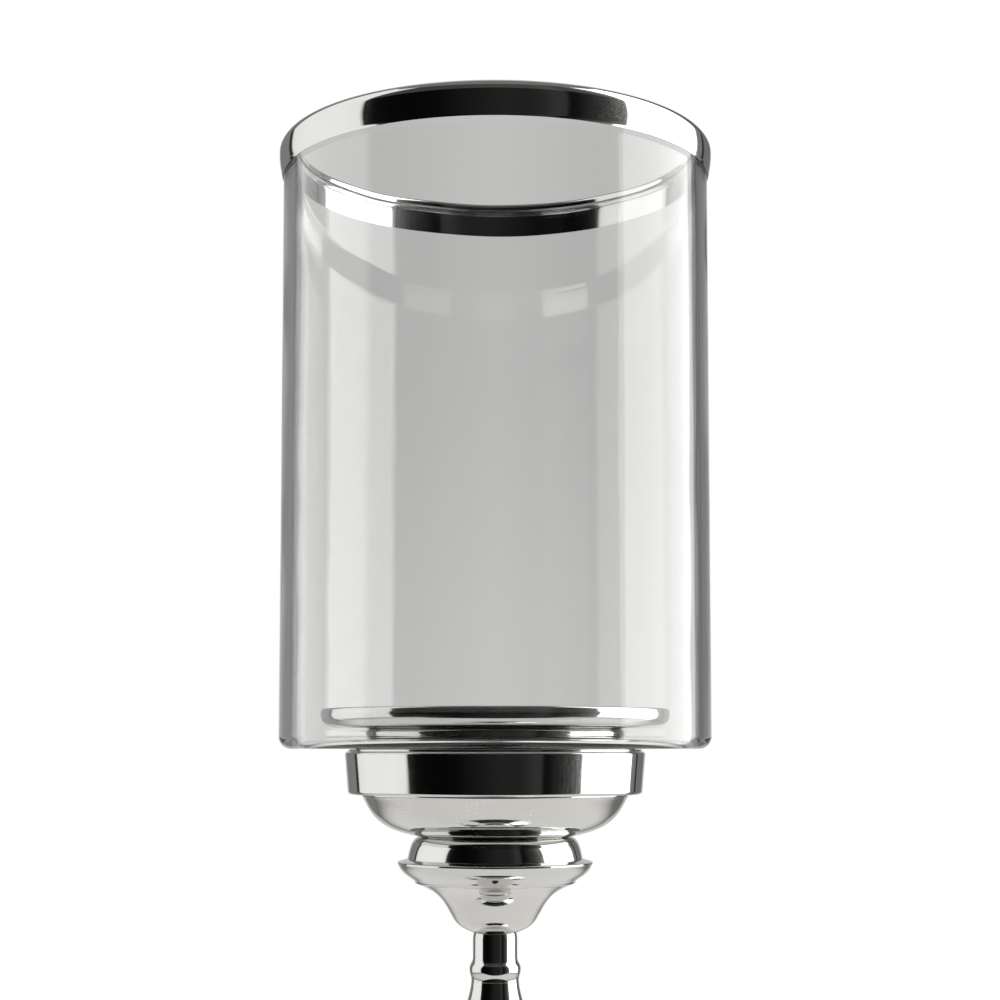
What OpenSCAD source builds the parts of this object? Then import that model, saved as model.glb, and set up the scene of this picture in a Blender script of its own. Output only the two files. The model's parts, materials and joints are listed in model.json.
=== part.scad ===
// Hurricane candle lantern: a clear glass cylinder with a nickel rim collar, clamped by a
// candle plate on a turned nickel stand. Every piece of the stand is threaded on one central
// rod. Millimetres, +Z up, origin at the centre of the resting face, under the felt.

/* [Glass] */
// Outer radius of the glass cylinder at its rim
glass_r = 90.7; // [88:0.1:94]
// How much the glass narrows down to its foot
glass_draft = 1.2; // [0:0.1:2]
// Height of the glass cylinder, floor included
glass_h = 254; // [200:2:320]
// Thickness of the glass wall
glass_wall = 4.8; // [4.6:0.1:5]
// Thickness of the glass floor
glass_floor = 3.3; // [3:0.1:6]
// Radius of the hole in the glass floor
glass_hole_r = 13; // [12.5:0.25:14]

/* [Rim collar] */
// Widest radius of the collar, beyond the glass
collar_bulge = 1.9; // [1.6:0.1:3]
// Height of the collar, from its lower edge to its crest
collar_h = 15; // [13:0.1:18]

/* [Candle plate] */
// Outer radius of the candle plate
plate_r = 72.5; // [68:0.5:76]
// Height of the plate, from its flat underside to its rim
plate_rim_h = 8.2; // [7.6:0.1:10]
// Depth of the dish inside the rim
plate_dish = 2.5; // [2.2:0.1:2.8]
// Radius of the spacer disc under the plate
spacer_r = 53.8; // [50:0.1:58]
// Height of the spacer disc
spacer_h = 3.7; // [3.2:0.1:6]

/* [Cup under the glass] */
// Largest radius of the drum
drum_r = 62.2; // [61:0.1:66]
// Height of the drum
drum_h = 18.3; // [15:0.1:21]
// How much the drum narrows towards its lower edge
drum_taper = 1.3; // [0:0.1:2]
// Radius of the bowl where it leaves the drum
bowl_r = 55.2; // [54:0.1:56]
// Height of the bowl that shows under the drum
bowl_h = 17.1; // [16:0.1:20]
// Radius of the groove between bowl and knop
groove_r = 32; // [30:0.5:33]
// Largest radius of the half-round knop
knop_r = 36.1; // [35.5:0.1:37]
// Height of the half-round knop
knop_h = 9.4; // [8:0.1:12]
// Radius of the sharp edge of the ogee cap
cap_r = 40.2; // [39:0.1:42]
// Height of the ogee cap
cap_h = 29.8; // [28:0.1:34]

/* [Stem] */
// Radius of the neck sleeve
neck_r = 9.1; // [8.5:0.1:9.5]
// Radius of the bead at the foot of the neck sleeve
bead_r = 10.5; // [10.2:0.1:12]
// Height of the neck sleeve, bead included
neck_h = 19.3; // [18:0.1:24]
// Radius of the waist between the bead and the baluster
waist_r = 9.7; // [9.3:0.1:10]
// Largest radius of the baluster
baluster_r = 22; // [18:0.5:26]
// Height of the baluster
baluster_h = 101; // [90:1:120]
// Largest radius of the ring under the baluster
ring_r = 14; // [12:0.5:16]
// Height of the ring under the baluster
ring_h = 7; // [5:0.5:9]
// Largest radius of the lower knop
lower_knop_r = 25; // [22:0.5:28]
// Height of the lower knop
lower_knop_h = 15; // [12:0.5:18]
// Height of the cove piece on the foot
cove_h = 10; // [8:0.5:14]

/* [Foot] */
// Outer radius of the foot
foot_r = 85; // [82:1:95]
// Height of the foot dome, from its rim to its hub
foot_h = 71.3; // [66:0.1:80]
// Thickness of the felt under the foot
felt_t = 2; // [1:0.5:3]
// Radius of the cast weight inside the foot
weight_r = 62; // [50:1:64]

/* [Hardware] */
// Diameter of the threaded rod
rod_d = 8; // [8:0.1:8.4]
// Width across the flats of the nuts
nut_af = 13; // [12:0.5:14]
// Height of the two full nuts
nut_h = 6.5; // [6:0.1:7]
// Height of the thin nut that holds the plate
thin_nut_h = 4; // [3.5:0.1:4]
// Thickness of the plain washers
washer_t = 1.2; // [1:0.1:1.6]
// Radius of the plain washers
washer_r = 10; // [9:0.5:12]

/* [Hidden] */

nickel = "silver";
steel = "slategray";
rubber = "dimgray";
silicone = "whitesmoke";

// Radial play: loose parts on the rod, the nut's thread, and the collar on the glass
rod_play = 0.25;
thread_play = 0.03;
rim_play = 0.1;
rod_r = rod_d / 2;
bore_r = rod_r + rod_play;

// Wall sizes shared by the spun and the cast pieces
sheet = 2;
cast_wall = 3;
drum_lip = 4;
gasket_t = 1.2;
pad_t = 1.1;
lip_gap = 0.2;
steps = 14;

// Heights of the joints of the stack, from the ground up
z_foot = felt_t;
z_cove = z_foot + foot_h;
z_lower_knop = z_cove + cove_h;
z_ring = z_lower_knop + lower_knop_h;
z_baluster = z_ring + ring_h;
z_neck = z_baluster + baluster_h;
z_cap = z_neck + neck_h;
z_knop = z_cap + cap_h;
z_bowl = z_knop + knop_h;
z_drum = z_bowl + bowl_h;
z_drum_top = z_drum + drum_h;
z_glass = z_drum_top + lip_gap;
z_seat = z_glass - gasket_t;
z_pad = z_glass + glass_floor;
z_spacer = z_pad + pad_t;
z_plate = z_spacer + spacer_h;
z_plate_rim = z_plate + plate_rim_h;
z_dish = z_plate_rim - plate_dish;
z_glass_rim = z_glass + glass_h;

// The well in the middle of the plate holds the washer and the thin nut under the candle
well_r = 15;
well_wall = 2.4;
z_well = z_dish - thin_nut_h - washer_t;
z_rod_end = z_dish - 0.2;
z_rod_start = z_foot + 1.5;
z_base_nut = z_rod_start + 1;
lock_t = 2;
z_lock = z_base_nut + nut_h;
z_weight_web = z_lock + lock_t;
z_stack = z_bowl + sheet + 1;

// Points along an ellipse about c, with radii rx and rz, from angle a0 to a1
function arc(c, rx, rz, a0, a1) = [
    for (i = [0:steps])
        let (a = a0 + (a1 - a0) * i / steps)
        [c[0] + rx * cos(a), c[1] + rz * sin(a)]
];

// Points along a cubic curve from a to d, drawn towards b and c
function curve(a, b, c, d) = [
    for (i = [0:steps])
        let (t = i / steps, s = 1 - t)
        s * s * s * a + 3 * s * s * t * b + 3 * s * t * t * c + t * t * t * d
];

// A closed outline turned about the axis
module turned(outline) {
    rotate_extrude($fn = 120) polygon(outline);
}

// A flat ring from z0 to z1
module ring(r_in, r_out, z0, z1) {
    turned([[r_in, z0], [r_out, z0], [r_out, z1], [r_in, z1]]);
}

// A hexagon nut with bevelled corners; its thread is a plain bore
module hex_nut(z0, h) {
    corner_r = nut_af / 2 / cos(30);
    bevel = 0.8;
    difference() {
        intersection() {
            translate([0, 0, z0]) cylinder(h = h, r = corner_r, $fn = 6);
            turned([
                [0, z0], [corner_r - bevel, z0], [corner_r + 0.1, z0 + bevel * 0.6],
                [corner_r + 0.1, z0 + h - bevel * 0.6], [corner_r - bevel, z0 + h], [0, z0 + h]
            ]);
        }
        translate([0, 0, z0 - 1]) cylinder(h = h + 2, r = rod_r + thread_play, $fn = 60);
    }
}

// Clear tumbler with a drilled floor, rounded below and fire-polished at the rim
module glass_cylinder() {
    edge = 5.2;
    inner_edge = 1.5;
    lip = glass_wall / 2;
    foot_outer_r = glass_r - glass_draft;
    inner_r = foot_outer_r - glass_wall;
    color("lightcyan", 0.4)
        turned(concat(
            [[glass_hole_r, z_glass], [foot_outer_r - edge, z_glass]],
            arc([foot_outer_r - edge, z_glass + edge], edge, edge, -90, 0),
            arc([glass_r - lip, z_glass_rim - lip], lip, lip, 0, 180),
            arc([inner_r - inner_edge, z_pad + inner_edge], inner_edge, inner_edge, 0, -90),
            [[glass_hole_r, z_pad]]
        ));
}

// Band that caps the glass rim, rolled over the top to a small lip inside the glass
module rim_collar() {
    lip = 2;
    lip_drop = 0.5;
    hem = 0.8;
    roll = 4.9;
    slot_r = glass_r + rim_play;
    wide_r = glass_r + collar_bulge;
    crest_r = glass_r - 3.2;
    lip_r = crest_r - lip;
    z_crest = z_glass_rim + 3;
    z_band = z_crest - collar_h;
    z_wide = z_crest - roll;
    z_lip = z_glass_rim - lip_drop;
    color(nickel)
        turned(concat(
            [[slot_r, z_band], [slot_r + 0.1, z_band]],
            curve(
                [slot_r + 0.6, z_band + hem], [slot_r + 1, z_band + 3], [wide_r, z_wide - 4.5],
                [wide_r, z_wide]
            ),
            arc([crest_r, z_wide], wide_r - crest_r, roll, 0, 90),
            arc([crest_r, z_crest - lip], lip, lip, 90, 180),
            [
                [lip_r, z_lip], [lip_r + 0.8, z_lip], [lip_r + 0.8 + lip_drop, z_glass_rim],
                [slot_r, z_glass_rim]
            ]
        ));
}

// Dished plate with an upright rim and a central well for its nut, relieved underneath
module candle_plate() {
    lip = 1.1;
    lip_r = plate_r - 0.2 - lip;
    dish_r = plate_r - 5.5;
    web = 2.6;
    seat_in = well_r + 8;
    seat_out = spacer_r - 6;
    z_under = z_well - 1.4;
    color(nickel)
        turned(concat(
            [
                [bore_r, z_under], [well_r + well_wall, z_under], [well_r + well_wall, z_plate],
                [seat_in, z_plate], [seat_in + 1, z_dish - web], [seat_out - 1, z_dish - web],
                [seat_out, z_plate]
            ],
            curve(
                [plate_r - 8, z_plate + 0.1], [plate_r - 3, z_plate + 0.15],
                [plate_r, z_plate + 2], [plate_r, z_plate + 6]
            ),
            arc([lip_r, z_plate_rim - lip], lip, lip, 0, 150),
            curve(
                [lip_r - lip, z_plate_rim - lip - 0.2], [lip_r - lip - 0.6, z_dish + 0.3],
                [dish_r + 0.8, z_dish], [dish_r, z_dish]
            ),
            [[well_r + 0.8, z_dish], [well_r, z_dish - 0.8], [well_r, z_well], [bore_r, z_well]]
        ));
}

// Turned disc with a rounded edge that stands the plate off the glass floor
module plate_spacer() {
    bead = 1.4;
    inner_r = well_r + well_wall + 0.3;
    color(nickel)
        turned(concat(
            [[inner_r, z_spacer]],
            arc([spacer_r - bead, z_spacer + spacer_h / 2], bead, spacer_h / 2, -90, 90),
            [[inner_r, z_plate]]
        ));
}

module upper_gasket() {
    color(silicone) ring(glass_hole_r + 5, spacer_r - 2, z_pad, z_spacer);
}

module captive_washer() {
    color(steel) ring(rod_r + 0.2, washer_r, z_well, z_well + washer_t);
}

module plate_nut() {
    color(steel) hex_nut(z_well + washer_t, thin_nut_h);
}

module lower_gasket() {
    color(rubber) ring(glass_hole_r, drum_r - drum_lip - 0.3, z_seat, z_glass);
}

// Nylon bush that keeps the glass off the rod
module centring_bush() {
    color("ivory") ring(bore_r, glass_hole_r - 0.2, z_seat, z_pad - 0.5);
}

// Upturned spun cup under the glass: a raised lip round the gasket, and a rolled lower edge
module gallery_drum() {
    lip_h = 0.8;
    shoulder = 1.3;
    hem = 1.4;
    z_shoulder = z_drum_top - lip_h;
    lip_out = drum_r - shoulder - 0.1;
    low_r = drum_r - drum_taper;
    mouth_r = bowl_r + 0.15;
    color(nickel)
        turned(concat(
            [
                [bore_r, z_seat - sheet], [bore_r, z_seat], [drum_r - drum_lip, z_seat],
                [drum_r - drum_lip, z_drum_top], [lip_out, z_drum_top], [lip_out, z_shoulder]
            ],
            arc([drum_r - shoulder, z_shoulder - shoulder], shoulder, shoulder, 90, 0),
            arc([low_r - hem, z_drum + hem], hem, hem, 0, -90),
            [
                [mouth_r, z_drum], [mouth_r, z_drum + 1], [low_r - sheet, z_drum + sheet + 0.5],
                [drum_r - sheet, z_seat - sheet]
            ]
        ));
}

// Spun bowl: its rim stands up inside the drum, its floor is clamped on the rod
module bowl() {
    rim_z = z_seat - sheet;
    inner_r = bowl_r - sheet;
    floor_z = z_bowl + sheet + 1;
    color(nickel)
        turned(concat(
            [[bore_r, floor_z], [bore_r, z_bowl], [groove_r, z_bowl]],
            curve(
                [groove_r, z_bowl], [bowl_r - 6.1, z_bowl + 3.2], [bowl_r - 4, z_bowl + 9.1],
                [bowl_r, z_drum - 0.2]
            ),
            [[bowl_r, rim_z], [inner_r, rim_z]],
            curve(
                [inner_r, z_drum - 0.2], [inner_r - 4, z_bowl + 10.5], [inner_r - 6.5, floor_z + 2.5],
                [groove_r - 4, floor_z]
            )
        ));
}

module stack_washer() {
    color(steel) ring(rod_r + 0.2, washer_r + 2, z_stack, z_stack + washer_t);
}

// Keeps the stand together when the glass is off
module stack_nut() {
    color(steel) hex_nut(z_stack + washer_t, nut_h);
}

// Half-round ring under the bowl, open below
module half_round_knop() {
    bulge = knop_r - groove_r;
    color(nickel)
        turned(concat(
            [[bore_r, z_bowl - cast_wall], [bore_r, z_bowl], [groove_r - 1.5, z_bowl]],
            curve(
                [groove_r - 0.9, z_bowl - 0.3], [groove_r + 1.8, z_bowl - 0.6],
                [knop_r - 1.1, z_bowl - 3.1], [knop_r, z_knop]
            ),
            arc([groove_r - cast_wall, z_knop], bulge, knop_h - cast_wall, 0, 90)
        ));
}

// Sharp-edged cap, open above: an ovolo under the edge, a fine step, and an ogee down to the neck
module ogee_cap() {
    edge_z = z_knop - 1;
    step_z = edge_z - 8.4;
    step_r = groove_r + 0.3;
    turn = [18.9, step_z - 11.6];
    end_r = neck_r - 0.5;
    wall_r = knop_r - cast_wall;
    inner_turn = turn + [-3.4, 2.4];
    hub_z = z_cap + 5;
    color(nickel)
        turned(concat(
            [[bore_r, hub_z], [bore_r, z_cap]],
            curve([end_r, z_cap], [16, turn[1] - 6], [16.2, turn[1] - 4.6], turn),
            curve(turn, [22.6, step_z - 4.6], [25.9, step_z - 3.2], [step_r - 0.6, step_z - 0.6]),
            [[step_r + 0.6, step_z - 0.3]],
            curve(
                [step_r + 0.9, step_z + 0.5], [step_r + 3.1, step_z + 2.7],
                [cap_r - 1.8, edge_z - 5.2], [cap_r - 0.15, edge_z - 1]
            ),
            [
                [cap_r, edge_z - 0.8], [cap_r, edge_z - 0.2], [cap_r - 0.3, edge_z],
                [knop_r + 0.2, z_knop], [wall_r, z_knop]
            ],
            curve([wall_r, edge_z - 2], [31, step_z + 1], [21, step_z - 1], inner_turn)
        ));
}

// Plain sleeve that ends in a bead
module neck_sleeve() {
    bead_z = z_neck + 4.8;
    color(nickel)
        turned(concat(
            [[bore_r, z_cap], [neck_r - 0.3, z_cap], [neck_r, z_cap - 2]],
            curve(
                [neck_r, bead_z + 4.9], [neck_r, bead_z + 2.4], [bead_r, bead_z + 2.3],
                [bead_r, bead_z]
            ),
            curve(
                [bead_r, bead_z], [bead_r, bead_z - 2.1], [waist_r, bead_z - 2.6],
                [waist_r, z_neck]
            ),
            [[bore_r, z_neck]]
        ));
}

// Vase-shaped stem, fullest below its middle, cast hollow round the rod
module baluster() {
    full_z = z_baluster + baluster_h * 0.4;
    low_r = waist_r - 0.2;
    hollow_r = baluster_r - cast_wall;
    solid_end = 20;
    color(nickel)
        turned(concat(
            curve(
                [low_r, z_baluster], [low_r, z_baluster + 19], [baluster_r, full_z - 17],
                [baluster_r, full_z]
            ),
            curve(
                [baluster_r, full_z], [baluster_r, z_neck - 31], [waist_r + 0.5, z_neck - 10.3],
                [waist_r, z_neck]
            ),
            [[bore_r, z_neck], [bore_r, z_neck - solid_end - 2]],
            curve(
                [bore_r + 2, z_neck - solid_end - 2], [hollow_r - 4, z_neck - 36],
                [hollow_r, full_z + 20], [hollow_r, full_z]
            ),
            curve(
                [hollow_r, full_z], [hollow_r, full_z - 12], [bore_r + 6, z_baluster + 24],
                [bore_r + 2, z_baluster + solid_end]
            ),
            [[bore_r, z_baluster + solid_end], [bore_r, z_baluster]]
        ));
}

// A bulging ring: necks of radius neck at both ends, radius full in the middle
module bulged(neck, full, z0, h) {
    color(nickel)
        turned(concat(
            [[bore_r, z0], [neck, z0]],
            arc([neck, z0 + h / 2], full - neck, h / 2 - 0.6, -90, 90),
            [[neck, z0 + h], [bore_r, z0 + h]]
        ));
}

module stem_ring() {
    bulged(waist_r + 0.6, ring_r, z_ring, ring_h);
}

module lower_knop() {
    bulged(ring_r - 1, lower_knop_r, z_lower_knop, lower_knop_h);
}

// Hollow-sided piece that spreads the stem onto the foot
module foot_cove() {
    top_r = ring_r - 1;
    low_r = 18;
    color(nickel)
        turned(concat(
            [[bore_r, z_cove + cove_h]],
            curve(
                [top_r, z_cove + cove_h], [top_r - 2, z_cove + 6], [top_r - 1, z_cove + 2.5],
                [low_r - 1, z_cove + 1.6]
            ),
            [[low_r, z_cove + 1.2], [low_r, z_cove], [bore_r, z_cove]]
        ));
}

// Spun foot: rolled rim, ovolo, fine step and a long sweep up to the hub
module foot_dome() {
    bead = 3.5;
    ovolo = [foot_r - 4, z_foot + 2 * bead];
    step = [foot_r - 23, z_foot + 22];
    sweep = [step[0] - 1, step[1] + 1.5];
    hub = [19.5, z_cove];
    wall = [sheet, sheet];
    inner_sweep = [step[0] - 4.2, step[1] - 0.8];
    color(nickel)
        turned(concat(
            [[bore_r, z_cove], hub],
            curve(hub, hub + [3, -26], [36, sweep[1] + 5], sweep),
            [step],
            curve(step, [foot_r - 15, z_foot + 21], [foot_r - 5, z_foot + 16], ovolo),
            arc([foot_r - bead, z_foot + bead], bead, bead, 90, -90),
            [[foot_r - bead - sheet, z_foot]],
            curve(
                ovolo - wall, [foot_r - 7.5, z_foot + 14], [foot_r - 16.5, z_foot + 19],
                step - wall
            ),
            [inner_sweep],
            curve(inner_sweep, [33, sweep[1] + 3], hub + [0.8, -27], hub - [2, 3]),
            [[bore_r, z_cove - 3]]
        ));
}

// Cast iron weight with a boss that carries the clamping force up to the hub of the foot
module base_weight() {
    boss_r = 11;
    pocket_r = 11;
    color("black")
        turned([
            [bore_r, z_weight_web], [pocket_r, z_weight_web], [pocket_r, z_foot],
            [weight_r, z_foot], [weight_r, z_foot + 12], [weight_r - 3, z_foot + 15],
            [boss_r + 8, z_foot + 20], [boss_r, z_foot + 30], [boss_r, z_cove - 3],
            [bore_r, z_cove - 3]
        ]);
}

// Split spring washer
module lock_washer() {
    color(steel)
        difference() {
            ring(rod_r + 0.2, 7.4, z_lock, z_weight_web);
            translate([3, -0.4, z_lock - 1]) cube([6, 0.8, lock_t + 2]);
        }
}

module base_nut() {
    color(steel) hex_nut(z_base_nut, nut_h);
}

// Full-length rod, modelled at its thread's outer diameter
module threaded_rod() {
    bevel = 0.7;
    color(steel)
        turned([
            [0, z_rod_start], [rod_r - bevel, z_rod_start], [rod_r, z_rod_start + bevel],
            [rod_r, z_rod_end - bevel], [rod_r - bevel, z_rod_end], [0, z_rod_end]
        ]);
}

module felt_pad() {
    color("darkslategray") ring(0, foot_r - 5, 0, felt_t);
}

glass_cylinder();
rim_collar();
candle_plate();
plate_spacer();
upper_gasket();
captive_washer();
plate_nut();
lower_gasket();
centring_bush();
gallery_drum();
bowl();
stack_nut();
stack_washer();
half_round_knop();
ogee_cap();
neck_sleeve();
baluster();
stem_ring();
lower_knop();
foot_cove();
foot_dome();
base_weight();
lock_washer();
base_nut();
threaded_rod();
felt_pad();
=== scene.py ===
# Looks of the hurricane candle lantern. Every turned part is lathed again from the outline of its
# CAD node, with rounded edges, and the rod gets its thread; the nuts, the lock washer and the felt
# keep their CAD meshes. All materials are procedural. Metres, +Z up, and the front faces -Y.
import json
import math

import bmesh
import bpy
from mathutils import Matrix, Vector, noise


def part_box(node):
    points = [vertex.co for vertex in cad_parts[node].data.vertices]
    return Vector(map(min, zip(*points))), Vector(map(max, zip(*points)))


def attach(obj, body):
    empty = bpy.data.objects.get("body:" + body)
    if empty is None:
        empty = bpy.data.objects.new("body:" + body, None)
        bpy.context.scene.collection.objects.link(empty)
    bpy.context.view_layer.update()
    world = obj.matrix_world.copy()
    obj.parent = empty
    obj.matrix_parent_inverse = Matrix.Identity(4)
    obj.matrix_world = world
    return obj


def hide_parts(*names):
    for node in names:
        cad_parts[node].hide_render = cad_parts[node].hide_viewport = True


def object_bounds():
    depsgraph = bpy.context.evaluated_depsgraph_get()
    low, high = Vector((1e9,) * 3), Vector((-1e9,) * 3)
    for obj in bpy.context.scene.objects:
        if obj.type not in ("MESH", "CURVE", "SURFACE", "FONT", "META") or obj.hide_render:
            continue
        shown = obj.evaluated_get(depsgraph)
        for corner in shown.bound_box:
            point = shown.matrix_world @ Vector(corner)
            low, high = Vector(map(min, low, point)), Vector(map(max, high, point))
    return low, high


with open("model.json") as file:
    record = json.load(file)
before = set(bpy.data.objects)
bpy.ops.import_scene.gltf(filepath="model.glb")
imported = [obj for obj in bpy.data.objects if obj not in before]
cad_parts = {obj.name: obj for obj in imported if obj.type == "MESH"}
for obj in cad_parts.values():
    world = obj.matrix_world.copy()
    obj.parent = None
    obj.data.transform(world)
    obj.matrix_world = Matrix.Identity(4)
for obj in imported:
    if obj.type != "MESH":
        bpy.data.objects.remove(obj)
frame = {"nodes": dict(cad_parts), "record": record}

cad_low, cad_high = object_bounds()
MM = 0.001
TAU = 2 * math.pi

# A corner sharper than this gets a rounded edge; a gentler one is part of a smooth curve
SHARP = math.radians(28)
# Largest turn between two neighbouring points of a refined curve
FINE_TURN = math.radians(3.0)
# A rounded edge takes at most this share of the sides beside it
EDGE_SHARE = 0.3
# Steps of a rounded edge
EDGE_STEPS = 6
# Beside a rounded edge, the side stays straight for this share of the edge's reach
EDGE_RUN = 0.5
# Points closer than WELD are one point, and a point within ON_SEAM of y = 0 is on the outline
WELD = 2e-7
ON_SEAM = 1e-6


# ---------------------------------------------------------------- outlines from the frame

def outline(node):
    """A turned CAD node's closed outline at y = 0, as (radius, height) points, anticlockwise."""
    bm = bmesh.new()
    bm.from_mesh(frame["nodes"][node].data)
    bmesh.ops.remove_doubles(bm, verts=bm.verts, dist=WELD)
    on_seam = {v for v in bm.verts if abs(v.co.y) < ON_SEAM and v.co.x > ON_SEAM}
    links = {}
    for v in on_seam:
        others = [edge.other_vert(v) for edge in v.link_edges]
        links[v] = [other for other in others if other in on_seam]
    first = min(on_seam, key=lambda v: (v.co.z, v.co.x))
    ring, previous = [first], None
    while True:
        ahead = [v for v in links[ring[-1]] if v is not previous]
        previous = ring[-1]
        if not ahead or ahead[0] is first:
            break
        ring.append(ahead[0])
    points = [Vector((v.co.x, v.co.z)) for v in ring]
    bm.free()
    area = sum(p.x * q.y - q.x * p.y for p, q in zip(points, points[1:] + points[:1]))
    return points if area > 0 else points[::-1]


def turn_at(before, here, after):
    """How far an outline turns at a point."""
    a, b = here - before, after - here
    return abs(math.atan2(a.x * b.y - a.y * b.x, a.dot(b)))


def angle_between(a, b):
    """The angle between two unit vectors."""
    return math.acos(max(-1, min(1, a.dot(b))))


def tangents(points, sharp):
    """Each point's direction of travel. The longer of its two sides counts for more, and a corner
    heads along its next side."""
    count = len(points)
    found = []
    for i, here in enumerate(points):
        back, ahead = here - points[i - 1], points[(i + 1) % count] - here
        found.append((ahead if sharp[i] else back + ahead).normalized())
    return found


def smooth_span(a, b, dir_a, dir_b, longest):
    """Points of the curve from a up to, not including, b, leaving along dir_a and arriving along
    dir_b."""
    reach = (b - a).length
    chord = (b - a).normalized()
    turn = angle_between(dir_a, chord) + angle_between(chord, dir_b)
    cuts = max(1, math.ceil(turn / FINE_TURN), math.ceil(reach / longest))
    span = []
    for k in range(cuts):
        t = k / cuts
        h00, h10 = (1 + 2 * t) * (1 - t) ** 2, t * (1 - t) ** 2
        h01, h11 = t * t * (3 - 2 * t), t * t * (t - 1)
        span.append(a * h00 + dir_a * reach * h10 + b * h01 + dir_b * reach * h11)
    return span


def edge_reach(points, i, edge):
    """How far the rounded edge at point i reaches along its two sides."""
    back, ahead = points[i] - points[i - 1], points[(i + 1) % len(points)] - points[i]
    return min(edge, EDGE_SHARE * back.length, EDGE_SHARE * ahead.length)


def rounded(points, edge, longest):
    """An outline with its smooth stretches refined and its corners rounded to about the radius edge."""
    count = len(points)
    sharp = []
    for i, here in enumerate(points):
        sharp.append(turn_at(points[i - 1], here, points[(i + 1) % count]) > SHARP)
    heading = tangents(points, sharp)
    out = []
    for i, here in enumerate(points):
        following = (i + 1) % count
        back = (here - points[i - 1]).normalized()
        ahead = (points[following] - here).normalized()
        start, dir_a = here, heading[i]
        if sharp[i]:
            cut = edge_reach(points, i, edge)
            a, b = here - back * cut, here + ahead * cut
            out.append(a - back * cut * EDGE_RUN)
            for k in range(EDGE_STEPS + 1):
                t = k / EDGE_STEPS
                out.append(a * (1 - t) ** 2 + here * 2 * t * (1 - t) + b * t * t)
            start, dir_a = b + ahead * cut * EDGE_RUN, ahead
        end, dir_b = points[following], heading[following]
        if sharp[following]:
            cut = edge_reach(points, following, edge)
            end, dir_b = end - ahead * cut * (1 + EDGE_RUN), ahead
        if (end - start).dot(ahead) > 0:
            out += smooth_span(start, end, dir_a, dir_b, longest)
    return out


# ---------------------------------------------------------------- meshes

def body_of(node):
    """The CAD body that a node belongs to."""
    bodies = frame["record"]["behaviour"]["bodies"]
    return next(body for body, nodes in bodies.items() if node in nodes)


def new_object(name, vertices, faces, material):
    """A mesh object, linked to the scene."""
    mesh = bpy.data.meshes.new(name)
    mesh.from_pydata(vertices, [], faces)
    mesh.materials.append(material)
    made = bpy.data.objects.new(name, mesh)
    bpy.context.scene.collection.objects.link(made)
    return made


def stand_in(node, ending, vertices, faces, material):
    """A smooth-shaded mesh that takes the place of a CAD node and rides on its body."""
    piece = new_object(node + ending, vertices, faces, material)
    piece.data.validate()
    piece.data.polygons.foreach_set("use_smooth", [True] * len(piece.data.polygons))
    piece.data.update()
    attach(piece, body_of(node))
    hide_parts(node)


def coat(node, material):
    """Gives a CAD mesh that stays as it is a material of its own."""
    materials = frame["nodes"][node].data.materials
    materials.clear()
    materials.append(material)


def circle(radius, z, segments):
    """Points round the axis."""
    turns = [TAU * s / segments for s in range(segments)]
    return [(radius * math.cos(a), radius * math.sin(a), z) for a in turns]


def band(low, high, segments):
    """Faces between two circles of points, whose first points have the indices low and high."""
    faces = []
    for s in range(segments):
        t = (s + 1) % segments
        faces.append((low + s, low + t, high + t, high + s))
    return faces


def lathe(profile, segments, shift=None):
    """Vertices and faces of a closed profile turned about Z. shift(r, z, a) gives the place of the
    point (r, z) at angle a."""
    vertices, faces = [], []
    count = len(profile)
    for s in range(segments):
        a = TAU * s / segments
        for r, z in profile:
            if shift:
                r, z = shift(r, z, a)
            vertices.append((r * math.cos(a), r * math.sin(a), z))
    for s in range(segments):
        here, there = s * count, (s + 1) % segments * count
        for i in range(count):
            j = (i + 1) % count
            faces.append((here + i, there + i, there + j, here + j))
    return vertices, faces


def turned_piece(node, material, segments=192, edge=0.25 * MM, longest=6 * MM, shift=None):
    """Lathes a turned CAD node again, with rounded edges, in its place."""
    vertices, faces = lathe(rounded(outline(node), edge, longest), segments, shift)
    stand_in(node, "_turned", vertices, faces, material)


# ---------------------------------------------------------------- shader building

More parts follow.
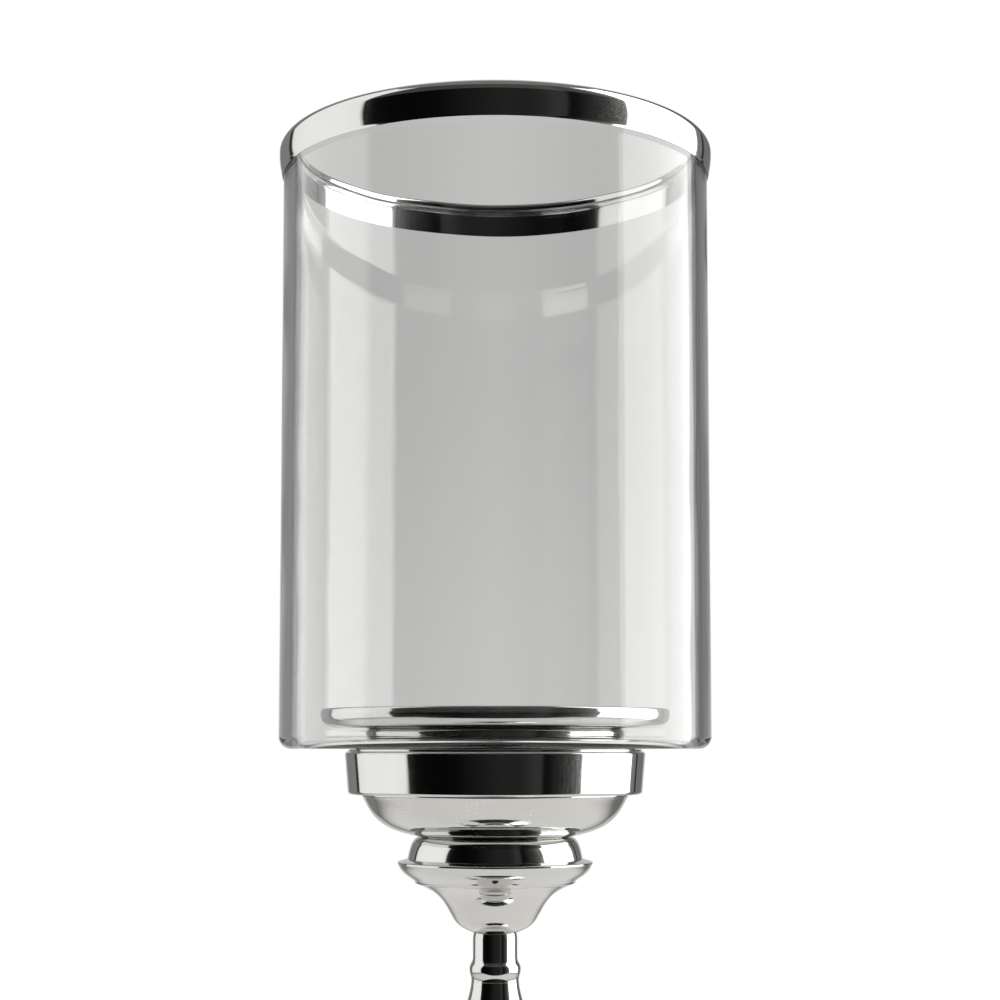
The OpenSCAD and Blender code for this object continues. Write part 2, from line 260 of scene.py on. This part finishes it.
class Graph:
    """Short calls for building a node tree. An input is a socket, a number, or a tuple."""

    def __init__(self, tree):
        self.tree = tree
        tree.nodes.clear()

    def add(self, kind, inputs=(), **settings):
        """A new node with its settings made and its inputs linked or set."""
        node = self.tree.nodes.new(kind)
        for key, value in settings.items():
            setattr(node, key, value)
        for key, value in dict(inputs).items():
            if isinstance(value, bpy.types.NodeSocket):
                self.tree.links.new(value, node.inputs[key])
            else:
                node.inputs[key].default_value = value
        return node

    def math(self, operation, a, b=0.0):
        return self.add("ShaderNodeMath", {0: a, 1: b}, operation=operation).outputs[0]

    def vector(self, operation, a, b=(0, 0, 0)):
        node = self.add("ShaderNodeVectorMath", {0: a, 1: b}, operation=operation)
        return node.outputs["Value" if operation in ("DOT_PRODUCT", "LENGTH") else "Vector"]

    def combine(self, x, y, z):
        return self.add("ShaderNodeCombineXYZ", {0: x, 1: y, 2: z}).outputs[0]

    def split(self, vector):
        return self.add("ShaderNodeSeparateXYZ", {0: vector}).outputs

    def step(self, value, low, high, to_low=0.0, to_high=1.0):
        """Smooth change from to_low to to_high as value goes from low to high."""
        inputs = {
            "Value": value, "From Min": low, "From Max": high, "To Min": to_low, "To Max": to_high,
        }
        return self.add("ShaderNodeMapRange", inputs, interpolation_type="SMOOTHSTEP").outputs[0]

    def noise(self, vector, scale, detail=2.0, roughness=0.5, distortion=0.0):
        inputs = {
            "Vector": vector, "Scale": scale, "Detail": detail, "Roughness": roughness,
            "Distortion": distortion,
        }
        return self.add("ShaderNodeTexNoise", inputs).outputs["Fac"]

    def mix(self, factor, a, b):
        """Colour mix."""
        inputs = {"Factor": factor, 6: a, 7: b}
        return self.add("ShaderNodeMix", inputs, data_type="RGBA").outputs[2]

    def ramp(self, value, table):
        """Straight-line table of (degrees, value), for degrees from -180 to 180."""
        place = self.math("ADD", self.math("DIVIDE", value, 360.0), 0.5)
        node = self.add("ShaderNodeValToRGB", {0: place})
        points = node.color_ramp.elements
        while len(points) < len(table):
            points.new(0.5)
        for point, (degrees, painted_glow_level) in zip(points, table):
            point.position = degrees / 360 + 0.5
            point.color = (painted_glow_level, painted_glow_level, painted_glow_level, 1)
        return node.outputs[0]

    def bump(self, height, strength, distance, normal=None):
        inputs = {"Height": height, "Strength": strength, "Distance": distance}
        if normal:
            inputs["Normal"] = normal
        return self.add("ShaderNodeBump", inputs).outputs[0]


def new_material(name):
    """A material with an empty node tree, and its graph."""
    material = bpy.data.materials.new(name)
    material.use_nodes = True
    return material, Graph(material.node_tree)


def finish_surface(graph, shader, volume=None):
    """Links a shader, and a volume if there is one, to the material's output."""
    output = graph.add("ShaderNodeOutputMaterial", {"Surface": shader})
    if volume:
        graph.tree.links.new(volume, output.inputs["Volume"])


def turning_space(graph):
    """Object position, and the same point as (radius, 0, height), so that a pattern on it runs round
    the axis."""
    place = graph.add("ShaderNodeTexCoord").outputs["Object"]
    x, y, z = graph.split(place)
    radius = graph.vector("LENGTH", graph.combine(x, y, 0.0))
    return place, graph.combine(radius, 0.0, z)


# ---------------------------------------------------------------- materials

# Roughness of clean polished nickel, and what grain, wiping haze, pits and scuffs add to it
CLEAN = 0.018
GRAIN = 0.03
HAZE = 0.05
PITS = 0.12
SCUFFS = 0.3
# What the roughness of a plain material may differ by from place to place, to either side
UNEVEN = 0.08


def add_scuffs(graph, place, tint, roughness, amount):
    """Tint and roughness with pale flattened dots added, in patches."""
    flat = graph.vector("MULTIPLY", place, (1.0, 1.0, 2.6))
    dots = graph.step(graph.noise(flat, 620.0, 2.0, 0.6), 0.56, 0.66)
    spread = graph.step(graph.noise(place, 75.0, 3.0, 0.6), 0.52, 0.62)
    marks = graph.math("MULTIPLY", graph.math("MULTIPLY", dots, spread), amount)
    tint = graph.mix(marks, tint, (0.93, 0.93, 0.91, 1))
    return tint, graph.math("ADD", roughness, graph.math("MULTIPLY", marks, SCUFFS))


def nickel_material(name, lines=1.0, scuffs=0.0):
    """Mirror-polished nickel plate: turning lines, wiping haze, fine pits and, if asked, scuffs."""
    material, graph = new_material(name)
    place, section = turning_space(graph)
    fine_lines = graph.noise(section, 5200.0, 3.0, 0.6)
    broad_lines = graph.noise(section, 900.0, 2.0, 0.5)
    patches = graph.noise(place, 38.0, 4.0, 0.6)
    worn = graph.step(patches, 0.48, 0.66)
    grain = graph.noise(place, 1500.0, 3.0, 0.7)
    pits = graph.step(graph.noise(place, 2600.0, 1.0, 0.5), 0.70, 0.76)
    haze = graph.math("MULTIPLY", worn, HAZE * lines)
    roughness = graph.math("ADD", graph.math("MULTIPLY", grain, GRAIN), haze)
    roughness = graph.math("ADD", roughness, CLEAN)
    roughness = graph.math("ADD", roughness, graph.math("MULTIPLY", pits, PITS))
    line_mix = graph.math("ADD", fine_lines, graph.math("MULTIPLY", broad_lines, 0.8))
    wear = graph.math("ADD", graph.math("MULTIPLY", worn, 0.8), 0.25)
    line_depth = graph.math("MULTIPLY", line_mix, wear)
    normal = graph.bump(line_depth, 0.09 * lines, 0.004 * MM)
    normal = graph.bump(graph.math("MULTIPLY", pits, -1.0), 0.25, 0.01 * MM, normal)
    cloud = graph.noise(place, 22.0, 2.0)
    tint = graph.mix(cloud, (0.68, 0.68, 0.668, 1), (0.73, 0.73, 0.718, 1))
    if scuffs:
        tint, roughness = add_scuffs(graph, place, tint, roughness, scuffs)
    shader = graph.add("ShaderNodeBsdfPrincipled", {
        "Base Color": tint, "Metallic": 1.0, "Roughness": roughness, "Normal": normal,
    }).outputs[0]
    finish_surface(graph, shader)
    return material


def glass_material(name):
    """Clear soda glass with a trace of green in its depth."""
    material, graph = new_material(name)
    place = graph.add("ShaderNodeTexCoord").outputs["Object"]
    smears = graph.step(graph.noise(place, 30.0, 3.0, 0.6, 0.4), 0.55, 0.8, 0.0, 0.012)
    shader = graph.add("ShaderNodeBsdfPrincipled", {
        "Base Color": (0.99, 0.99, 0.99, 1), "Roughness": smears, "IOR": 1.52,
        "Transmission Weight": 1.0,
    }).outputs[0]
    volume = graph.add("ShaderNodeVolumeAbsorption", {
        "Color": (0.88, 0.89, 0.88, 1), "Density": 3.0,
    }).outputs[0]
    finish_surface(graph, shader, volume)
    return material


def zinc_material(name):
    """Bright zinc plate: mottled, with a rolled grain."""
    material, graph = new_material(name)
    place, section = turning_space(graph)
    spangle = graph.noise(place, 420.0, 4.0, 0.6)
    grain = graph.noise(section, 3800.0, 2.0)
    tint = graph.mix(spangle, (0.50, 0.51, 0.52, 1), (0.74, 0.745, 0.75, 1))
    roughness = graph.math("ADD", graph.math("MULTIPLY", spangle, 0.25), 0.16)
    normal = graph.bump(grain, 0.25, 0.02 * MM)
    shader = graph.add("ShaderNodeBsdfPrincipled", {
        "Base Color": tint, "Metallic": 1.0, "Roughness": roughness, "Normal": normal,
    }).outputs[0]
    finish_surface(graph, shader)
    return material


def plain_material(name, dark, light, scale, roughness, bump, sheen=0.0):
    """A moulded, cast or pressed surface: its dark and its light colour mixed by grain, with
    matching relief."""
    material, graph = new_material(name)
    place = graph.add("ShaderNodeTexCoord").outputs["Object"]
    grain = graph.noise(place, scale, 5.0, 0.65)
    cloud = graph.noise(place, scale / 14, 2.0)
    tone = graph.math("ADD", graph.math("MULTIPLY", grain, 0.7), graph.math("MULTIPLY", cloud, 0.3))
    shader = graph.add("ShaderNodeBsdfPrincipled", {
        "Base Color": graph.mix(tone, (*dark, 1), (*light, 1)),
        "Roughness": graph.step(grain, 0.2, 0.8, roughness - UNEVEN, roughness + UNEVEN),
        "Normal": graph.bump(grain, 0.6, bump),
        "Sheen Weight": sheen,
    }).outputs[0]
    finish_surface(graph, shader)
    return material


# ---------------------------------------------------------------- the object

glass_low, glass_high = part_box("glass_cylinder")

# The glass keeps true for WAVE_FREE at its rim and foot; its waves then grow over WAVE_GROWS
WAVE_FREE = 12 * MM
WAVE_GROWS = 25 * MM
BROAD_WAVE = 0.06 * MM
FINE_WAVE = 0.07 * MM
# A radius in the middle of the glass wall: the surfaces outside and inside it wander on their own
GLASS_MIDDLE = 88 * MM
INSIDE_OFFSET = 40

THREAD_PITCH = 1.25 * MM
THREAD_DEPTH = 0.6 * MM
THREAD_LENGTH = 22 * MM
# Share of the pitch on which the crest is flat; the root is flat on as much
THREAD_FLAT = 0.12
ROD_CHAMFER = 0.8 * MM


def glass_wave(r, z, a):
    """A drawn glass wall is not quite true: away from its rim and foot it wanders by a few
    hundredths of a millimetre."""
    depth = min(z - glass_low.z, glass_high.z - z) - WAVE_FREE
    if depth <= 0:
        return r, z
    offset = 0 if r > GLASS_MIDDLE else INSIDE_OFFSET
    broad = noise.noise(Vector((math.cos(a) * 1.4, math.sin(a) * 1.4, z * 9 + offset)))
    fine = noise.noise(Vector((math.cos(a) * 3.2, math.sin(a) * 3.2, z * 34 + offset)))
    return r + min(1, depth / WAVE_GROWS) * (BROAD_WAVE * broad + FINE_WAVE * fine), z


def threaded_piece(node, material, segments=64, steps_per_turn=10):
    """A round bar with a thread cut into its upper end; it takes the place of its CAD node."""
    low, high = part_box(node)
    radius = high.x
    start = high.z - THREAD_LENGTH
    rings = math.ceil(THREAD_LENGTH / (THREAD_PITCH / steps_per_turn))
    heights = [low.z, low.z + ROD_CHAMFER, start - THREAD_PITCH]
    heights += [start + THREAD_LENGTH * k / rings for k in range(rings + 1)]
    vertices = []
    for z in heights:
        for s in range(segments):
            a = TAU * s / segments
            crest = abs(2 * ((z / THREAD_PITCH - s / segments) % 1) - 1)
            flank = (1 - THREAD_FLAT - crest) / (1 - 2 * THREAD_FLAT)
            cut = THREAD_DEPTH * max(0, min(1, flank)) if z >= start else 0
            end = max(0, ROD_CHAMFER - (high.z - z), ROD_CHAMFER - (z - low.z))
            r = radius - max(cut, end)
            vertices.append((r * math.cos(a), r * math.sin(a), z))
    top = (len(heights) - 1) * segments
    faces = []
    for row in range(0, top, segments):
        faces += band(row, row + segments, segments)
    faces.append(tuple(range(segments))[::-1])
    faces.append(tuple(range(top, top + segments)))
    stand_in(node, "_cut", vertices, faces, material)


nickel = nickel_material("polished_nickel")
spun_nickel = nickel_material("spun_nickel", lines=1.8, scuffs=0.7)
glass = glass_material("clear_glass")
zinc = zinc_material("zinc_plate")
rubber = plain_material(
    "black_rubber", dark=(0.012, 0.012, 0.013), light=(0.035, 0.035, 0.036),
    scale=900, roughness=0.6, bump=0.02 * MM,
)
silicone = plain_material(
    "white_silicone", dark=(0.78, 0.78, 0.77), light=(0.88, 0.88, 0.87),
    scale=300, roughness=0.35, bump=0.005 * MM,
)
nylon = plain_material(
    "natural_nylon", dark=(0.70, 0.68, 0.60), light=(0.83, 0.82, 0.76),
    scale=500, roughness=0.4, bump=0.01 * MM,
)
iron = plain_material(
    "cast_iron", dark=(0.02, 0.02, 0.021), light=(0.06, 0.058, 0.056),
    scale=700, roughness=0.55, bump=0.12 * MM,
)
felt = plain_material(
    "charcoal_felt", dark=(0.016, 0.018, 0.02), light=(0.07, 0.075, 0.08),
    scale=1600, roughness=0.95, bump=0.25 * MM, sheen=0.4,
)

turned_piece("glass_cylinder", glass, segments=256, edge=0.4 * MM, longest=5 * MM, shift=glass_wave)
for node in (
    "rim_collar", "candle_plate", "plate_spacer", "gallery_drum", "half_round_knop", "ogee_cap",
):
    turned_piece(node, nickel)
turned_piece("bowl", spun_nickel)
for node in ("neck_sleeve", "baluster", "stem_ring", "lower_knop", "foot_cove", "foot_dome"):
    turned_piece(node, nickel, edge=0.08 * MM)
turned_piece("lower_gasket", rubber)
turned_piece("upper_gasket", silicone)
turned_piece("centring_bush", nylon, segments=96)
turned_piece("base_weight", iron)
for node in ("captive_washer", "stack_washer"):
    turned_piece(node, zinc, segments=96, edge=0.15 * MM)
for node in ("plate_nut", "stack_nut", "base_nut", "lock_washer"):
    coat(node, zinc)
threaded_piece("threaded_rod", zinc)
coat("felt_pad", felt)


# ---------------------------------------------------------------- studio

# The wall of light: its radius, the height its rows of light are measured from, and its two edges
WALL_RADIUS = 0.8
WALL_MIDDLE = 0.35
WALL_LOW = -1.0
WALL_HIGH = 2.2
STAGE_SEGMENTS = 96

# Brightness of the studio wall against the turn from the point behind the camera, in degrees
# (left is negative). Each table is one part of the wall and is zero elsewhere; the parts add up.
# FRONT is the dark room before the lantern, CLOTH a speckled cloth in it and FRONT_SECTOR where
# its ceiling is; SOFT_LIGHTS are the softboxes, WINGS the panels beside the white BACKDROP.
FRONT = (
    (-67, 0.0), (-66, 0.03), (-60, 0.006), (-52, 0.0035), (-40, 0.0026), (-27, 0.004), (-8, 0.0135),
    (4, 0.02), (16, 0.019), (22, 0.025), (29, 0.042), (34, 0.038), (35.5, 0.006), (42, 0.01),
    (66, 0.015), (67, 0.0),
)
CLOTH = ((40, 0.0), (48, 0.02), (56, 0.06), (62, 0.17), (65.5, 0.25), (67, 0.0))
FRONT_SECTOR = ((-66, 0.0), (-64, 1.0), (64, 1.0), (66, 0.0))
SOFT_LIGHTS = (
    (-127, 0.0), (-125, 1.0), (-110, 1.1), (-80, 1.12), (-68, 1.06), (-66.5, 0.0),
    (66.0, 0.0), (67.5, 2.6), (100, 2.8), (123.5, 2.6), (125, 0.0),
)
WINGS = (
    (-156, 0.0), (-152, 0.22), (-132, 0.25), (-130, 0.02), (-126, 0.0), (124, 0.0), (125, 0.24),
    (132, 0.22), (133.5, 0.02), (135.5, 0.02), (137, 0.2), (152, 0.18), (156, 0.0),
)
BACKDROP = (
    (-179.5, 0.6), (-174, 0.55), (-158, 0.5), (-153, 0.0),
    (153, 0.0), (158, 0.5), (174, 0.55), (179.5, 0.6),
)

# Brightness of the ceiling, and the angles above WALL_MIDDLE over which it fades in
CEILING = 0.06
CEILING_EDGE = (33.0, 37.0)

# The table that the lantern stands on ends TABLE_FRONT before the axis, with an edge this soft. Its
# light is painted: the floor itself glows, falling from the first level to the second between the two
# distances of TABLE_DIM.
TABLE_FRONT = 0.31
TABLE_EDGE = 0.002
TABLE_PAINTED_GLOW = (0.66, 0.1)
TABLE_DIM = (0.35, 0.78)
# The camera sees the floor turn white between these distances
FLOOR_FADE = (0.3, 0.8)
FLOOR_RADIUS = 1.5

# The camera stands before the lantern, a touch to its right and just above the underside of the
# glass. Its pitch is in degrees, its lens and sensor in millimetres.
CAMERA_RIGHT = 0.0020
CAMERA_BACK = 0.81405
CAMERA_RISE = 0.0001
CAMERA_PITCH = 7.29
CAMERA_LENS = 69.95
SENSOR_WIDTH = 36


def camera_frame(graph):
    """The level directions straight away from the camera and to its right, in world space."""
    inputs = {0: (0, 0, 1)}
    kind = {"vector_type": "VECTOR", "convert_from": "CAMERA", "convert_to": "WORLD"}
    ahead = graph.add("ShaderNodeVectorTransform", inputs, **kind).outputs[0]
    x, y, _ = graph.split(ahead)
    painted_glow_level = graph.vector("NORMALIZE", graph.combine(x, y, 0.0))
    return painted_glow_level, graph.combine(y, graph.math("MULTIPLY", x, -1.0), 0.0)


def studio_walls():
    """Round wall of light about the object. It turns with the camera and the camera can't see it."""
    material, graph = new_material("studio_wall")
    place = graph.add("ShaderNodeNewGeometry").outputs["Position"]
    x, y, z = graph.split(place)
    way = graph.vector("NORMALIZE", graph.combine(x, y, 0.0))
    ahead, right = camera_frame(graph)
    back = graph.math("MULTIPLY", graph.vector("DOT_PRODUCT", way, ahead), -1.0)
    side = graph.vector("DOT_PRODUCT", way, right)
    turn = graph.math("DEGREES", graph.math("ARCTAN2", side, back))
    rise = graph.math("SUBTRACT", z, WALL_MIDDLE)
    height = graph.math("DEGREES", graph.math("ARCTAN2", rise, WALL_RADIUS))

    speckle = graph.step(graph.noise(place, 60.0, 2.0), 0.3, 0.7, 0.45, 1.5)
    cloth = graph.math("MULTIPLY", graph.ramp(turn, CLOTH), speckle)
    front = graph.math("ADD", graph.ramp(turn, FRONT), cloth)
    above = graph.math("MULTIPLY", graph.step(height, *CEILING_EDGE), graph.ramp(turn, FRONT_SECTOR))
    front = graph.math("ADD", front, graph.math("MULTIPLY", above, CEILING))
    fall = graph.step(height, -3.0, 22.0, 1.1, 0.96)
    backdrop = graph.math("MULTIPLY", graph.ramp(turn, BACKDROP), fall)
    sides = graph.math("ADD", graph.ramp(turn, SOFT_LIGHTS), graph.ramp(turn, WINGS))
    total = graph.math("ADD", graph.math("ADD", front, sides), backdrop)
    light = graph.add("ShaderNodeEmission", {"Color": (1, 1, 0.99, 1), "Strength": total})
    finish_surface(graph, light.outputs[0])

    vertices = circle(WALL_RADIUS, WALL_LOW, STAGE_SEGMENTS)
    vertices += circle(WALL_RADIUS, WALL_HIGH, STAGE_SEGMENTS)
    faces = band(0, STAGE_SEGMENTS, STAGE_SEGMENTS)
    wall = new_object("studio_wall", vertices, faces, material)
    wall.visible_camera = False


def studio_world():
    """The camera sees white. Reflections see a warm grey above the wall of light and a darker grey
    below it."""
    world = bpy.data.worlds.new("studio")
    bpy.context.scene.world = world
    world.use_nodes = True
    graph = Graph(world.node_tree)
    way = graph.add("ShaderNodeTexCoord").outputs["Generated"]
    up = graph.step(graph.split(way)[2], -0.1, 0.1)
    dim = graph.mix(up, (0.06, 0.06, 0.06, 1), (0.22, 0.21, 0.20, 1))
    seen = graph.add("ShaderNodeLightPath").outputs["Is Camera Ray"]
    colour = graph.mix(seen, dim, (1, 1, 1, 1))
    shader = graph.add("ShaderNodeBackground", {"Color": colour, "Strength": 1.0}).outputs[0]
    graph.add("ShaderNodeOutputWorld", {"Surface": shader})


def pale_floor():
    """A round floor that fades to white. Reflections see the table as painted light, a glow on the
    floor that fades with distance, and nothing before its front edge."""
    rings = 24
    vertices = [(0, 0, cad_low.z)]
    faces = [(0, 1 + s, 1 + (s + 1) % STAGE_SEGMENTS) for s in range(STAGE_SEGMENTS)]
    for k in range(1, rings + 1):
        if k > 1:
            faces += band(len(vertices), len(vertices) - STAGE_SEGMENTS, STAGE_SEGMENTS)
        vertices += circle(FLOOR_RADIUS * k / rings, cad_low.z, STAGE_SEGMENTS)
    material, graph = new_material("pale_floor")
    place, section = turning_space(graph)
    distance = graph.split(section)[0]
    paper = graph.add("ShaderNodeBsdfDiffuse", {"Color": (0.22, 0.22, 0.215, 1)}).outputs[0]
    # Painted pool of light: the floor glows brighter near the lantern and dimmer further out, instead
    # of being lit
    painted_glow_level = graph.step(distance, *TABLE_DIM, *TABLE_PAINTED_GLOW)
    glow = graph.add("ShaderNodeEmission", {"Color": (1, 0.982, 0.95, 1), "Strength": painted_glow_level})
    near = graph.add("ShaderNodeAddShader", {0: paper, 1: glow.outputs[0]}).outputs[0]
    white = graph.add("ShaderNodeEmission", {"Color": (1, 1, 1, 1)}).outputs[0]
    fade = graph.step(distance, *FLOOR_FADE)
    shown = graph.add("ShaderNodeMixShader", {0: fade, 1: near, 2: white}).outputs[0]
    clear = graph.add("ShaderNodeBsdfTransparent").outputs[0]
    ahead, _ = camera_frame(graph)
    depth = graph.vector("DOT_PRODUCT", place, ahead)
    beyond = graph.step(depth, -TABLE_FRONT - TABLE_EDGE, -TABLE_FRONT + TABLE_EDGE, 1.0, 0.0)
    mirrored = graph.add("ShaderNodeMixShader", {0: beyond, 1: near, 2: clear}).outputs[0]
    seen = graph.add("ShaderNodeLightPath").outputs["Is Camera Ray"]
    shader = graph.add("ShaderNodeMixShader", {0: seen, 1: mirrored, 2: shown}).outputs[0]
    finish_surface(graph, shader)
    new_object("pale_floor", vertices, faces, material)


def camera():
    """Looks up at the lantern from the height of the underside of the glass."""
    lens_data = bpy.data.cameras.new("camera")
    lens_data.lens = CAMERA_LENS
    lens_data.sensor_width = SENSOR_WIDTH
    eye = bpy.data.objects.new("camera", lens_data)
    bpy.context.scene.collection.objects.link(eye)
    eye.location = (CAMERA_RIGHT, -CAMERA_BACK, glass_low.z + CAMERA_RISE)
    eye.rotation_euler = (math.radians(90 + CAMERA_PITCH), 0, 0)
    bpy.context.scene.camera = eye


studio_world()
studio_walls()
pale_floor()
camera()
scene = bpy.context.scene
scene.view_settings.view_transform = "Standard"
scene.view_settings.look = "None"
scene.cycles.max_bounces = 24
scene.cycles.transmission_bounces = 20
scene.cycles.glossy_bounces = 10
